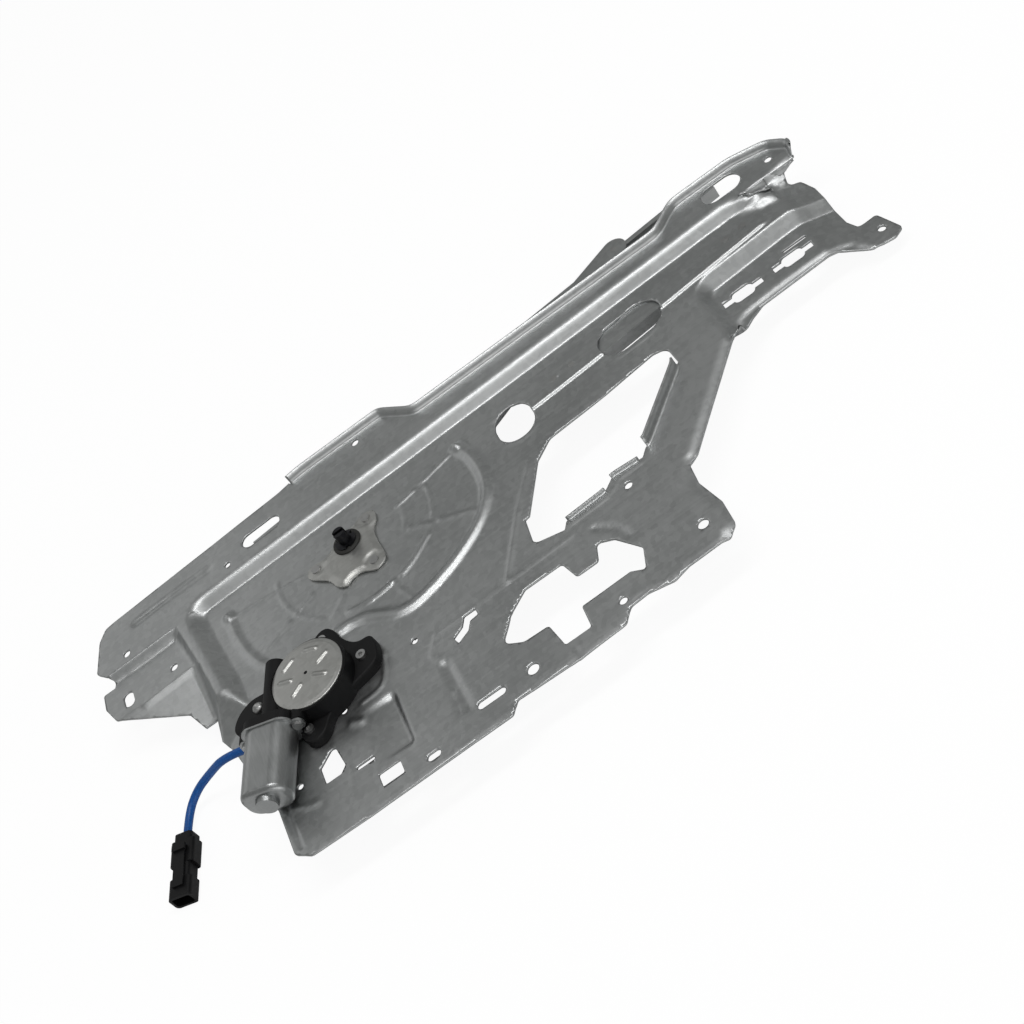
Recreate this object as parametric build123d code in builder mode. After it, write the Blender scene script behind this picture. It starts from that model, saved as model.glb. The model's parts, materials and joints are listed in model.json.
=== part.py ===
from build123d import *
import math
import os

# Cross-arm power window regulator on a pressed steel carrier plate.
# Working frame: X along the plate, Y up the door, Z out of the plate's front face.
# The front of the tray floor lies at Z = 0 until the export moves the whole assembly.

# Carrier plate
sheet = 1.5
upper_level = 8.0
keyhole_level = -9.0
ledge_level = 2.0
wing_level = -20.0
wall_taper = -50.0
lip_height = 7.0
back_flange = 6.0
window_flange = 10.0
bead_height = 2.4
bead_width = 10.0
rib_width = 5.0
fan_radius = 114.0
fan_inner_radius = 66.0
bolt_hole = 3.2

# Lift linkage, with the lift pivot on the Z axis
rail_slope = 5.4
lift_angle = 24.15
lift_length = 317.8
cross_length = lift_length / 2
arm_sheet = 3.0
arm_root_z = -10.0
arm_outer_z = -19.0
joggle_start, joggle_end = 48.0, 78.0
lower_half_z = -15.5
upper_half_z = -22.5
hub_radius = 7.0
stud_radius = 3.0
collar_radius = 4.0
pin_radius = 4.0
running_gap = 0.05
roller_radius = 7.6
roller_width = 5.4
arm_rivet_radius = 3.0
arm_rivet_circle = 20.0

# Rails
rail_sheet = 1.5
rail_width = 19.0
rail_depth = 10.5
rail_lip = 3.6
guide_start, guide_end = 194.0, 386.0
sash_front_z = -24.0
sash_front_overhang, sash_rear_overhang = 69.0, 92.0
glass_bolt_inset = 35.0
sash_tab = 16.0

# Sector and pinion
gear_module = 1.75
pressure_angle = 25.0
pinion_teeth = 12
full_sector_teeth = 138
teeth_before, teeth_after = 12, 22
motor_bearing = 242.85
sector_z = -7.0
pinion_z = -9.0
pinion_face = 6.4
backlash = 0.12

# Gearmotor
worm_angle = -110.0
worm_pitch_radius = 6.0
wheel_radius = 25.0
wheel_teeth = 50
axis_z = 16.0
wheel_face = 8.0
drum_radius = 31.0
housing_wall = 2.5
housing_floor = 4.0
housing_top = 21.6
cover_radius = 29.4
tunnel_radius = 8.5
lug_radius = 38.0
lug_height = 7.0
flange_reach = 36.0
flange_block = 8.0
can_length = 57.0
can_width = 37.0
can_height = 27.0
can_wall = 1.6
can_ear = 22.5
shaft_radius = 2.5
output_radius = 5.0

# Lead and connector
lead_radius = 3.1
grommet_length = 6.0
connector_angle = 252.5
connector_length = 54.0
connector_width = 20.0
connector_height = 13.0

sector_radius = gear_module * full_sector_teeth / 2
centre_distance = sector_radius + gear_module * pinion_teeth / 2
root_depth = 1.05 * gear_module
upward = (Align.CENTER, Align.CENTER, Align.MIN)


def polar(radius, angle, origin=(0, 0)):
    """The point at a radius and an angle in degrees about an origin."""
    turn = math.radians(angle)
    return (origin[0] + radius * math.cos(turn), origin[1] + radius * math.sin(turn))


def turned(origin, angle, z=0.0):
    """A plane square to Z whose X axis points along an angle."""
    return Plane(origin=(*origin, z), x_dir=polar(1, angle) + (0,), z_dir=(0, 0, 1))


gear_axis = polar(centre_distance, motor_bearing)
worm_foot = polar(wheel_radius + worm_pitch_radius, worm_angle - 90, gear_axis)
cross = polar(cross_length, lift_angle)
tip = polar(lift_length, lift_angle)
half_angle = 2 * rail_slope - lift_angle
lower_end = polar(cross_length, half_angle, cross)
upper_end = polar(cross_length, half_angle + 180, cross)
mount_points = [polar(lug_radius, angle, gear_axis) for angle in (67, -3, 243)]
bracket_rivet_points = [(20, 12.5), (13, -33.5), (-31, -3.5)]
rail_rivet_points = [polar(s, rail_slope) for s in (197, 214, 361.5, 377.5)]
arm_rivet_points = [polar(arm_rivet_circle, lift_angle + a) for a in (60, 150, -60, -150)]

# Outline of the sheet: x, y and the radius of each corner
outline = [
    (-216, 72, 10), (-208, 82, 6), (-199, 83.5, 2), (-34, 95, 2), (-22, 97.5, 2), (-9, 99.5, 2),
    (68, 100, 10),
    (92, 77, 14), (322, 79, 14), (345, 97, 16), (398, 97, 20), (428, 88, 14), (441, 74, 9), (438, 60, 3),
    (425, 57, 2), (422, 48, 2), (431, 47, 3), (436, 34, 8), (437, -10, 5), (441, -20, 2), (457, -17, 3),
    (465, -44, 4), (456, -50, 6), (438, -49, 8), (428, -42, 6), (418, -36, 4), (350, -38, 14),
    (322, -56, 16),
    (251, -138, 3), (243, -143, 3), (241, -162, 8), (247, -190, 10), (246, -214, 8), (238, -222, 4),
    (205, -223, 6), (192, -227, 6), (172, -222, 6), (158, -223, 6), (150, -234, 5), (112, -236, 4),
    (62, -234, 3), (55, -243, 4), (-65, -244, 20), (-110, -243, 6), (-121, -234, 6), (-122, -190, 6),
    (-132, -160, 6), (-146, -97, 10), (-168, -43, 5), (-222, -11, 4), (-228, 6, 5), (-227, 22, 2),
    (-216, 22, 1), (-214, 27, 1), (-225, 41, 4),
]

window = [
    (277, -27, 8), (278, -48, 1.5), (223, -105, 1.5), (219, -110, 1.5), (194, -108, 3), (184, -116.5, 3),
    (150, -118.5, 1.5), (146, -125, 1.5), (122, -118, 6), (125, -92, 1), (129, -91, 1), (154, -47, 8),
    (170, -34, 8),
    (223, -30, 20), (266, -24, 5),
]

cross_cutout = [
    (186, -184, 6), (180, -203, 2), (170, -196.5, 2), (130, -197, 2), (129, -218, 2), (108, -218, 2),
    (104, -194, 3), (84, -193, 8), (70, -183, 6), (86, -162, 4), (101, -151, 4), (132, -151, 3),
    (137, -170, 3),
    (155, -170, 3), (160, -154, 3), (172, -161, 4),
]

five_sided_hole = [(-83, -180, 2), (-68, -168, 3), (-65, -191, 2), (-70, -196, 2), (-83, -196, 2)]
bent_slot = [
    (41, -150, 1), (50, -145, 2), (54, -138, 2), (64, -138, 1), (64, -144, 1), (57, -145, 1), (53, -152, 2),
    (43, -157, 1),
]

round_holes = [
    (15, -129, 2.6), (-52, -146, 2.6), (-101, -183, 2.5), (81, -219, 4.6), (156, -215, bolt_hole),
    (228, -199, 4.2), (200, -125, bolt_hole), (-94, 58, 2.6), (-196, 41, bolt_hole), (39, 90, bolt_hole),
    (422, 75, bolt_hole), (-164, 1, bolt_hole), (453, -34, bolt_hole),
]

# Long holes: x, y, length, width and angle
long_holes = [
    (154, 4, 38, 32, 90), (264, 17, 56, 35, 6), (-59, 68, 36, 14, 3), (381, 80, 34, 20, 0),
    (-5, -232, 11, 6, 0),
    (-51, -201, 15, 3.4, 0), (47, -219, 23, 6.8, 0), (-207, 1, 15, 9, 90),
]

tray_plan = [
    (-131, 35, 8), (375, 53, 12), (402, 38, 12), (500, 34, 2), (500, -270, 2), (-113, -270, 2),
    (-113, -110, 1),
    (-118, -60, 1),
]
pocket_plan = [(327, 4, 8), (398, 9, 8), (500, 9, 2), (500, -60, 2), (327, -60, 2)]


def rounded_face(corners, inset=0.0):
    """A closed face through corners that each state their own radius."""
    with BuildSketch(mode=Mode.PRIVATE) as face:
        with BuildLine():
            FilletPolyline(*[(x, y) for x, y, _ in corners], radius=[r for _, _, r in corners], close=True)
        make_face()
        if inset:
            offset(amount=-inset, mode=Mode.REPLACE)
    return face.sketch


def panel(*points):
    """A run of sheet between folds, as a fan of facets with their front faces through the points."""
    for second, third in zip(points[1:], points[2:]):
        wire = Wire.make_polygon([Vector(*p) for p in (points[0], second, third)], close=True)
        add(Solid.extrude(Face(wire), Vector(0, 0, -sheet)))


def pressed(plan, floor_level, rim_level):
    """Press a sloped tray or pocket into the sheet, its floor at one level and its rim at another."""
    rise = rim_level - floor_level
    extrude(plan.moved(Location((0, 0, floor_level - sheet))), amount=rise + sheet, taper=wall_taper)
    extrude(plan.moved(Location((0, 0, floor_level))), amount=rise + 1, taper=wall_taper,
            mode=Mode.SUBTRACT)


def drill(points, radius):
    """Round holes right through the sheet."""
    for x, y in points:
        with Locations((x, y, 0)):
            Cylinder(radius, 80, mode=Mode.SUBTRACT)


with BuildPart() as carrier_plate:
    # Upper flange and the ridge that wraps round the tray's corner
    with BuildSketch(Plane.XY.offset(upper_level - sheet)):
        with BuildLine():
            Polyline((-232, 31), (-150, 33), (-136, -60), (-110, -60), (-110, 44), (480, 62), (480, 120),
                     (-232, 120),
                     close=True)
        make_face()
    extrude(amount=sheet)
    pressed(rounded_face(tray_plan), 0, upper_level)
    pressed(rounded_face(pocket_plan), keyhole_level, 0)
    # Clear both ends, where folded panels take over
    with BuildSketch(Plane.XY.offset(-40)):
        with BuildLine():
            Polyline((-118, -60), (-117, -85), (-113, -110), (-113, -280), (-300, -280), (-300, -60),
                     close=True)
        make_face()
        with BuildLine():
            Polyline((410, 60), (520, 60), (520, -90), (410, -90), close=True)
        make_face()
    extrude(amount=80, mode=Mode.SUBTRACT)
    with BuildSketch(Plane.XY.offset(upper_level - sheet)):
        with BuildLine():
            Polyline((400, 60), (480, 60), (480, 120), (400, 120), close=True)
        make_face()
    extrude(amount=sheet)
    # Right end ramp and wing
    near = [(60, upper_level), (46, 0), (19, 0), (9, keyhole_level), (-60, keyhole_level)]
    far = [(60, -2), (46, -11), (19, -13), (9, wing_level), (-60, wing_level)]
    for a, b, c, d in zip(near, near[1:], far, far[1:]):
        panel((410, *a), (410, *b), (446, *d), (446, *c))
    panel((446, 9, wing_level), (446, -60, wing_level), (480, -60, wing_level - 4),
          (480, 9, wing_level - 4))
    # Left end: step down to the ledge, sloped tab edge and the side wall that falls away
    ridge = [(-150, 33, upper_level), (-142, -12, upper_level), (-136, -60, upper_level)]
    fold, knee, heel = (-156, 27, ledge_level), (-148, -12, ledge_level), (-150, -60, -14)
    panel((-232, 31, upper_level), ridge[0], fold, (-232, 25, ledge_level))
    panel((-232, 25, ledge_level), fold, knee, (-232, -12, ledge_level))
    panel((-232, -12, ledge_level), knee, heel, (-232, -60, -14))
    panel(ridge[0], ridge[1], knee, fold)
    panel(ridge[1], ridge[2], heel, knee)
    corner, edge_top, edge_low = (-128, -60, upper_level), (-117, -85, 0), (-113, -110, 0)
    deep, deep_low = (-155, -90, wing_level), (-152, -115, wing_level)
    panel(ridge[2], corner, edge_top, deep)
    panel(corner, (-118, -60, 0), edge_top)
    panel(ridge[2], deep, heel)
    panel(edge_top, edge_low, deep_low, deep)
    panel(edge_low, (-113, -170, 0), (-140, -165, -10), deep_low)
    panel((-113, -170, 0), (-113, -260, 0), (-135, -260, 0), (-130, -195, 0), (-140, -165, -10))
    # Trim to the outline
    with BuildSketch(Plane.XY.offset(-40)):
        add(rounded_face(outline))
    extrude(amount=80, mode=Mode.INTERSECT)
    # Lip along the upper edge, then the flange turned back along the lower edge and the strut
    with BuildSketch(Plane.XY.offset(upper_level - sheet)):
        add(rounded_face(outline))
        add(rounded_face(outline, sheet), mode=Mode.SUBTRACT)
        with Locations((208, 87)):
            Rectangle(462, 50, mode=Mode.INTERSECT)
    extrude(amount=sheet + lip_height)
    with BuildSketch():
        add(rounded_face(outline))
        add(rounded_face(outline, sheet), mode=Mode.SUBTRACT)
        with BuildLine():
            Polyline((-119, -198), (235, -198), (238, -150), (316, -50), (330, -50), (330, -260),
                     (-119, -260), close=True)
        make_face(mode=Mode.INTERSECT)
    extrude(amount=-back_flange)
    # Arcs and spokes of the stiffening fan
    for radius, start, sweep_angle, scale in ((fan_radius, -72, 80, 1), (fan_inner_radius, 172, 38, 0.6),
                                              (fan_inner_radius, 226, 44, 0.6),
                                              (fan_inner_radius, 284, 38, 0.6),
                                              (fan_inner_radius, 336, 30, 0.6)):
        half = bead_width / 2 * scale
        with BuildSketch(Plane(origin=(0, 0, 0), x_dir=polar(1, start) + (0,),
                               z_dir=polar(1, start - 90) + (0,))):
            with BuildLine():
                ThreePointArc((radius - half, 0), (radius, bead_height * scale), (radius + half, 0))
                Polyline((radius + half, 0), (radius + half, -sheet / 2), (radius - half, -sheet / 2),
                         (radius - half, 0))
            make_face()
        revolve(axis=Axis.Z, revolution_arc=sweep_angle)
    with BuildSketch(Plane.XY.offset(-sheet / 2)):
        for angle, inner, outer in ((9, 74, 102), (-30, 74, 102), (-66, 74, 102), (205, 74, 102),
                                    (174, 74, 104),
                                    (9, 44, 60), (-30, 44, 60), (205, 44, 60), (-96, 74, 94)):
            with Locations(polar((inner + outer) / 2, angle)):
                SlotOverall(outer - inner, rib_width, rotation=angle)
    extrude(amount=sheet / 2 + bead_height / 2)
    # Every opening that goes through the sheet
    with BuildSketch(Plane.XY.offset(-40)):
        for corners in (window, cross_cutout, five_sided_hole, bent_slot):
            add(rounded_face(corners))
        for x, y, length, width, angle in long_holes:
            with Locations((x, y)):
                SlotOverall(length, width, rotation=angle)
        for x in (346, 390):
            with Locations((x, -16)):
                RectangleRounded(18, 13, 4)
                Rectangle(34, 6.5)
        with Locations((397, -5)):
            RectangleRounded(20, 2.6, 1)
        with Locations((-37, -223)):
            RectangleRounded(18, 12, 1.5)
    extrude(amount=80, mode=Mode.SUBTRACT)
    for x, y, r in round_holes:
        drill([(x, y)], r)
    drill([gear_axis], 13.5)
    drill([(0, 0)], hub_radius + 0.5)
    drill(bracket_rivet_points, 2.2)
    drill(rail_rivet_points, 2.5)
    drill(mount_points, 2.5)
    # Flange turned forward along the window's right edge
    with BuildSketch(Plane(origin=(251.0, -77.0, -sheet), x_dir=(0.694, 0.72, 0), z_dir=(0, 0, 1))):
        Rectangle(70, sheet)
    extrude(amount=sheet + window_flange)
carrier_plate.part.label = "carrier_plate"

with BuildPart() as pivot_bracket:
    with BuildSketch():
        Circle(19)
        for x, y in bracket_rivet_points + [(-14, -33)]:
            with Locations((x / 2, y / 2)):
                SlotOverall(math.hypot(x, y) + 15, 15, rotation=math.degrees(math.atan2(y, x)))
    extrude(amount=2.5)
    fillet(pivot_bracket.faces().sort_by(Axis.Z)[-1].edges(), 0.8)
    with BuildSketch(Plane.XY.offset(2.5)):
        Circle(13)
    extrude(amount=3, taper=20)
    drill([(0, 0)], output_radius + running_gap)
    drill(bracket_rivet_points + [(-14, -33)], 2.2)
pivot_bracket.part.label = "pivot_bracket"


def rivets(name, points, radius, low, high, head, head_height):
    """Rivets through a stack, with a head at each end."""
    with BuildPart() as row:
        for x, y in points:
            for start, size, height in ((low - head_height, head, head_height), (low, radius, high - low),
                                        (high, head, head_height)):
                with Locations((x, y, start)):
                    Cylinder(size, height, align=upward)
    row.part.label = name
    return row


bracket_rivets = rivets("bracket_rivets", bracket_rivet_points, 2.2, -sheet, 2.5, 3.8, 1.0)
rail_rivets = rivets("rail_rivets", rail_rivet_points, 2.5, -sheet - rail_sheet, 0, 4.0, 0.9)
arm_rivets = rivets("arm_rivets", arm_rivet_points, arm_rivet_radius, arm_root_z, sector_z + arm_sheet,
                    4.6, 1.0)
cross_pin = rivets("cross_pin", [cross], pin_radius, upper_half_z, lower_half_z + arm_sheet, 6.5, 0.8)

with BuildPart() as pivot_shaft:
    with Locations((0, 0, -2)):
        Cylinder(output_radius, 19, align=upward)
    with Locations((0, 0, arm_root_z)):
        Cylinder(hub_radius, -arm_root_z - sheet, align=upward)
    with Locations((0, 0, arm_root_z - 1.5)):
        Cylinder(hub_radius + 3, 1.5, align=upward)
    with Locations((0, 0, 14.5)):
        Box(12, 3, 7, mode=Mode.SUBTRACT)
pivot_shaft.part.label = "pivot_shaft"

with BuildPart() as shaft_clip:
    with BuildSketch(Plane.XY.offset(5.5)):
        Circle(9)
        Circle(output_radius, mode=Mode.SUBTRACT)
        for k in range(3):
            with Locations(polar(8, 30 + 120 * k)):
                Circle(1.6, mode=Mode.SUBTRACT)
    extrude(amount=1.2)
shaft_clip.part.label = "shaft_clip"


def involute(base, radius):
    """Angle that an involute has turned through where it reaches a radius."""
    alpha = math.acos(min(1, base / radius))
    return math.tan(alpha) - alpha


def tooth_points(teeth, first, count):
    """Corner points of a run of teeth about the origin, anticlockwise."""
    pitch = gear_module * teeth / 2
    base = pitch * math.cos(math.radians(pressure_angle))
    root = pitch - root_depth
    low = max(base, root)
    half = (math.pi * gear_module / 2 - backlash) / (2 * pitch) + involute(base, pitch)
    radii = [low + (pitch + 0.8 * gear_module - low) * k / 3 for k in range(4)]
    flank = [(r, half - involute(base, r)) for r in radii]
    if root < base:
        flank.insert(0, (root, flank[0][1]))
    points = []
    for tooth in range(count):
        middle = math.radians(first + 360 * tooth / teeth)
        points += [(r, middle - a) for r, a in flank]
        points += [(r, middle + a) for r, a in reversed(flank)]
    return [(r * math.cos(a), r * math.sin(a)) for r, a in points]


tooth_step = 360 / full_sector_teeth
first_tooth = motor_bearing - teeth_before * tooth_step
last_tooth = motor_bearing + teeth_after * tooth_step
with BuildPart() as sector_gear:
    with BuildSketch(Plane.XY.offset(sector_z)):
        with BuildLine():
            teeth = tooth_points(full_sector_teeth, first_tooth, teeth_before + teeth_after + 1)
            rim = sector_radius - root_depth - 1
            hub_out, hub_in = polar(28, last_tooth + 30), polar(28, first_tooth - 30)
            Polyline(*teeth, polar(rim, last_tooth + 1.6), hub_out)
            ThreePointArc(hub_out, polar(28, lift_angle), hub_in)
            Polyline(hub_in, polar(rim, first_tooth - 1.6), teeth[0])
        make_face()
        Circle(hub_radius, mode=Mode.SUBTRACT)
        for share in (0.22, 0.5, 0.78):
            bearing = first_tooth + share * (last_tooth - first_tooth)
            with Locations(polar(74, bearing)):
                SlotOverall(50, 20, rotation=bearing, mode=Mode.SUBTRACT)
        with Locations(*arm_rivet_points):
            Circle(arm_rivet_radius, mode=Mode.SUBTRACT)
    extrude(amount=arm_sheet)
sector_gear.part.label = "sector_gear"

with BuildPart() as lift_arm:
    side = Plane(origin=(0, 0, 0), x_dir=polar(1, lift_angle) + (0,),
                 z_dir=polar(1, lift_angle - 90) + (0,))
    with BuildSketch(side):
        with BuildLine():
            low, high, reach = arm_root_z, arm_outer_z, lift_length + 20
            FilletPolyline((-40, low), (joggle_start, low), (joggle_end, high), (reach, high),
                           (reach, high + arm_sheet), (joggle_end, high + arm_sheet),
                           (joggle_start, low + arm_sheet), (-40, low + arm_sheet),
                           radius=[0.2, 8, 8, 0.2, 0.2, 8, 8, 0.2], close=True)
        make_face()
    extrude(amount=40, both=True)
    with BuildSketch(turned((0, 0), lift_angle, -40)):
        with BuildLine():
            bend = lift_length - 60
            ThreePointArc((0, 27), (-27, 0), (0, -27))
            FilletPolyline((0, -27), (joggle_end, -26), (cross_length, -22), (bend, -12.5),
                           (lift_length, -11), radius=60)
            ThreePointArc((lift_length, -11), (lift_length + 11, 0), (lift_length, 11))
            FilletPolyline((lift_length, 11), (bend, 12.5), (cross_length, 22), (joggle_end, 26), (0, 27),
                           radius=60)
        make_face()
    extrude(amount=60, mode=Mode.INTERSECT)
    with BuildSketch(turned((0, 0), lift_angle, -40)):
        Circle(hub_radius)
        with Locations(*[polar(arm_rivet_circle, a) for a in (60, 150, -60, -150)]):
            Circle(arm_rivet_radius)
        with Locations((cross_length, 0)):
            Circle(pin_radius + running_gap)
        with Locations((lift_length, 0)):
            Circle(stud_radius)
        with Locations((cross_length + 64, 0)):
            SlotOverall(72, 10)
        with Locations((joggle_end + 34, 0)):
            SlotOverall(40, 16)
    extrude(amount=60, mode=Mode.SUBTRACT)
lift_arm.part.label = "lift_arm"


def half_arm(name, angle, level):
    """One half of the crossing arm, from the cross pin to its roller stud."""
    with BuildPart() as arm:
        with BuildSketch(turned(cross, angle, level)):
            with BuildLine():
                ThreePointArc((0, 17), (-17, 0), (0, -17))
                FilletPolyline((0, -17), (cross_length / 2, -12), (cross_length, -10), radius=60)
                ThreePointArc((cross_length, -10), (cross_length + 10, 0), (cross_length, 10))
                FilletPolyline((cross_length, 10), (cross_length / 2, 12), (0, 17), radius=60)
            make_face()
            Circle(pin_radius, mode=Mode.SUBTRACT)
            with Locations((cross_length, 0)):
                Circle(stud_radius, mode=Mode.SUBTRACT)
            with Locations((cross_length / 2 + 8, 0)):
                SlotOverall(70, 9, mode=Mode.SUBTRACT)
        extrude(amount=arm_sheet)
    arm.part.label = name
    return arm


cross_arm_lower = half_arm("cross_arm_lower", half_angle, lower_half_z)
cross_arm_upper = half_arm("cross_arm_upper", half_angle + 180, upper_half_z)

# Roller fronts, set back from the web of the guide rail and from the lips of the sash rail
guide_roller_z = -sheet - rail_sheet - 1.3
sash_roller_z = sash_front_z - rail_sheet - 0.8


def stud(name, centre, flush_z, side, roller_near):
    """A stud flush with the arm, with a collar before the roller and a head beyond it."""
    collar = abs(roller_near - flush_z) - 0.1
    end = collar + roller_width + 0.2
    with BuildPart(Plane(origin=(*centre, flush_z), z_dir=(0, 0, side))) as pin:
        Cylinder(stud_radius, end + 0.7, align=upward)
        with Locations((0, 0, arm_sheet)):
            Cylinder(collar_radius, collar - arm_sheet, align=upward)
        with Locations((0, 0, end)):
            Cylinder(collar_radius, 0.7, align=upward)
    pin.part.label = name
    return pin


lower_stud = stud("lower_stud", lower_end, lower_half_z, 1, guide_roller_z - roller_width)
upper_stud = stud("upper_stud", upper_end, upper_half_z + arm_sheet, -1, sash_roller_z)
lift_stud = stud("lift_stud", tip, arm_outer_z + arm_sheet, -1, sash_roller_z)


def roller(name, centre, front):
    """A nylon roller that turns freely on its stud."""
    with BuildPart(Plane(origin=(*centre, front - roller_width))) as wheel:
        Cylinder(roller_radius, roller_width, align=upward)
        chamfer(wheel.edges().filter_by(GeomType.CIRCLE), 0.6)
        Cylinder(stud_radius + running_gap, roller_width, align=upward, mode=Mode.SUBTRACT)
    wheel.part.label = name
    return wheel


lower_roller = roller("lower_roller", lower_end, guide_roller_z)
upper_roller = roller("upper_roller", upper_end, sash_roller_z)
lift_roller = roller("lift_roller", tip, sash_roller_z)


def channel(centre, start, end, web_z, side):
    """A C-section rail with inturned lips, drawn square to its run. Side is the way it opens."""
    outer, inner = rail_width / 2, rail_width / 2 - rail_sheet
    top, under, base = side * rail_depth, side * (rail_depth - rail_sheet), side * rail_sheet
    half = [(inner, base), (inner, under), (inner - rail_lip, under), (inner - rail_lip, top),
            (outer, top), (outer, 0)]
    section = Plane(origin=(*polar(start, rail_slope, centre), web_z),
                    x_dir=polar(1, rail_slope + 90) + (0,),
                    z_dir=polar(1, rail_slope) + (0,))
    with BuildPart(mode=Mode.PRIVATE) as rail:
        with BuildSketch(section):
            with BuildLine():
                Polyline(*half, *[(-x, z) for x, z in reversed(half)], close=True)
            make_face()
        extrude(amount=end - start)
    return rail.part


sash_start = -math.dist(tip, upper_end) - sash_front_overhang

with BuildPart() as guide_rail:
    add(channel((0, 0), guide_start, guide_end, -sheet, -1))
    drill(rail_rivet_points, 2.5)
guide_rail.part.label = "guide_rail"

sash_web_z = sash_front_z - rail_depth
with BuildPart() as sash_rail:
    add(channel(tip, sash_start, sash_rear_overhang, sash_web_z, 1))
    with BuildSketch(turned(tip, rail_slope, sash_web_z)):
        for s in (sash_start + glass_bolt_inset, sash_rear_overhang - glass_bolt_inset):
            with Locations((s, -rail_width / 2 - sash_tab / 2 + 2)):
                RectangleRounded(40, sash_tab + 4, 3)
            with Locations((s, -rail_width / 2 - sash_tab / 2)):
                Circle(bolt_hole, mode=Mode.SUBTRACT)
    extrude(amount=rail_sheet)
    with BuildSketch(turned(tip, rail_slope, sash_web_z)):
        with Locations(*[(sash_start + along, 0) for along in (35, 155, 260, 426)]):
            SlotOverall(24, 8)
    extrude(amount=rail_sheet, mode=Mode.SUBTRACT)
sash_rail.part.label = "sash_rail"


def motor_plane(along, z=axis_z):
    """A plane square to the armature at a distance from the worm's foot, with Y up."""
    return Plane(origin=(*polar(along, worm_angle, worm_foot), z), x_dir=polar(1, worm_angle + 90) + (0,),
                 z_dir=polar(1, worm_angle) + (0,))


ears = [(-can_ear, -2), (can_ear, 2)]
with BuildPart() as gear_housing:
    with BuildSketch():
        with Locations(gear_axis):
            Circle(drum_radius)
        for angle in (67, -3, 243):
            with Locations(polar(lug_radius / 2, angle, gear_axis)):
                SlotOverall(lug_radius + 12, 12, rotation=angle)
    extrude(amount=lug_height)
    with Locations((*gear_axis, 0)):
        Cylinder(drum_radius, housing_top, align=upward)
    with BuildSketch(motor_plane(-24)):
        Circle(tunnel_radius)
        with Locations((0, -axis_z / 2)):
            Rectangle(tunnel_radius * 2, axis_z)
    extrude(amount=24 + flange_reach - flange_block)
    with BuildSketch(motor_plane(flange_reach - flange_block)):
        RectangleRounded(can_width + 3, can_height, 9)
        for ear in ears:
            with Locations(ear):
                Circle(6)
        with Locations((-19, -11.5)):
            Rectangle(10, 9)
    extrude(amount=flange_block)
    # Gear cavity, worm tunnel, output bearing and screw holes
    with Locations((*gear_axis, housing_floor)):
        Cylinder(drum_radius - housing_wall, 30, align=upward, mode=Mode.SUBTRACT)
    with Locations((*gear_axis, housing_top)):
        Cylinder(cover_radius + 0.3, 30, align=upward, mode=Mode.SUBTRACT)
    with Locations((*gear_axis, 0)):
        Cylinder(9, axis_z - wheel_face / 2, align=upward)
        Cylinder(output_radius + running_gap, 60, mode=Mode.SUBTRACT)
    with BuildSketch(motor_plane(-21)):
        Circle(tunnel_radius - 2)
    extrude(amount=21 + flange_reach, mode=Mode.SUBTRACT)
    with BuildSketch(motor_plane(flange_reach)):
        RectangleRounded(can_width - 5, can_height - 5, 7)
    extrude(amount=-5, mode=Mode.SUBTRACT)
    with BuildSketch(motor_plane(flange_reach)):
        with Locations(*ears):
            Circle(1.8)
    extrude(amount=-flange_block, mode=Mode.SUBTRACT)
    drill(mount_points, 2.5)
gear_housing.part.label = "gear_housing"

with BuildPart() as gear_cover:
    with Locations((*gear_axis, housing_top)):
        Cylinder(cover_radius, 1.6, align=upward)
    with Locations((*gear_axis, housing_top + 1.6)):
        Cone(cover_radius - 1.2, cover_radius - 2.6, 1.2, align=upward)
    with BuildSketch(turned(gear_axis, 0, housing_top + 2.8)):
        Circle(2)
        for x, y, angle in ((-11, 17, 27), (15, 4, 27), (-11, -10, 30), (9, 18, -27), (-17, 4, -27),
                            (9, -9, -33)):
            with Locations((x, y)):
                SlotOverall(12.5, 3, rotation=angle)
    extrude(amount=0.7)
    with Locations((*gear_axis, housing_top)):
        Cylinder(cover_radius - 3.5, 1.4, align=upward, mode=Mode.SUBTRACT)
gear_cover.part.label = "gear_cover"

with BuildPart() as motor_can:
    with BuildSketch(motor_plane(flange_reach)):
        RectangleRounded(can_width, can_height, 11)
    extrude(amount=can_length)
    along_motor = Axis(motor_plane(0).origin, motor_plane(0).z_dir)
    fillet(motor_can.faces().sort_by(along_motor)[-1].edges(), 4)
    with BuildSketch(motor_plane(flange_reach + can_length)):
        Circle(8.5)
    extrude(amount=4, taper=8)
    with BuildSketch(motor_plane(flange_reach)):
        RectangleRounded(can_width + 5, can_height + 2, 10)
        with Locations(*ears):
            Circle(5.4)
    extrude(amount=1.6)
    with BuildSketch(motor_plane(flange_reach)):
        RectangleRounded(can_width - 2 * can_wall, can_height - 2 * can_wall, 9.4)
    extrude(amount=can_length - 2 * can_wall, mode=Mode.SUBTRACT)
    with BuildSketch(motor_plane(flange_reach)):
        Circle(5)
    extrude(amount=can_length + 2.4, mode=Mode.SUBTRACT)
    with BuildSketch(motor_plane(flange_reach)):
        with Locations(*ears):
            Circle(1.8)
    extrude(amount=2, mode=Mode.SUBTRACT)
motor_can.part.label = "motor_can"

with BuildPart() as can_screws:
    with BuildSketch(motor_plane(flange_reach - 7)):
        with Locations(*ears):
            Circle(1.8)
    extrude(amount=8.6)
    with BuildSketch(motor_plane(flange_reach + 1.6)):
        with Locations(*ears):
            Circle(3.6)
    extrude(amount=2.4)
can_screws.part.label = "can_screws"

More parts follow.
